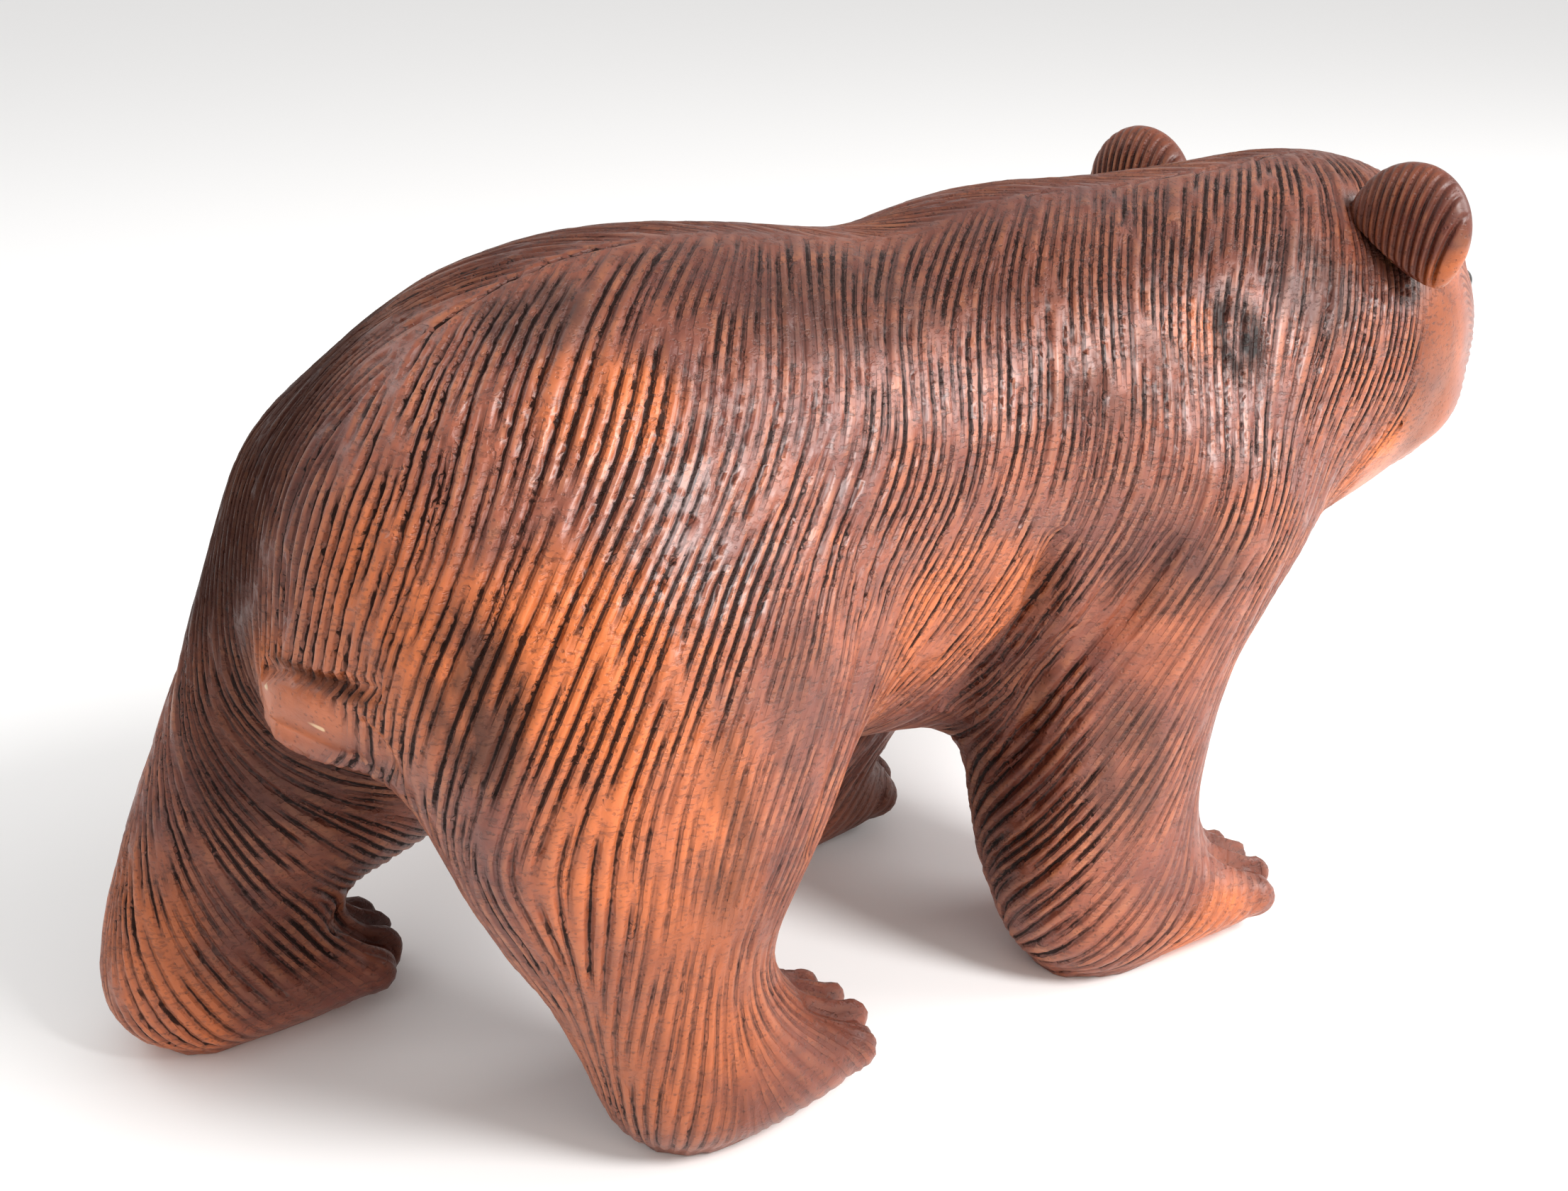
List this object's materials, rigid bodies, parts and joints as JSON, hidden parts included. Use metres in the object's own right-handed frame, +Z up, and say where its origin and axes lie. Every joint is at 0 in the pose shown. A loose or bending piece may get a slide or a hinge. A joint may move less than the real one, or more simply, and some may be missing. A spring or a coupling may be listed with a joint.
{
  "type": "carved bear figurine",
  "caption": "Free-standing carved wooden figurine of a walking bear with fine gouged fur, pegged ears and bead eyes, that stands on its four flat soles.",
  "frame": {"origin": "on the surface the bear stands on, under the middle of its box", "axes": "+X towards the head, +Y to the bear's left, +Z up"},
  "size_m": [0.3972, 0.1496, 0.1944],
  "materials": {
    "stained_carved_wood": "red-brown stain and satin lacquer over V-gouged fur",
    "dowel_wood": "plain turned dowel, unfinished",
    "bead_glass": "polished dark glass bead"
  },
  "bodies": {
    "root": {"body_carving": "stained_carved_wood", "ear_left": "stained_carved_wood", "ear_right": "stained_carved_wood", "ear_dowel_left": "dowel_wood", "ear_dowel_right": "dowel_wood", "eye_left": "bead_glass", "eye_right": "bead_glass"}
  },
  "joints": []
}
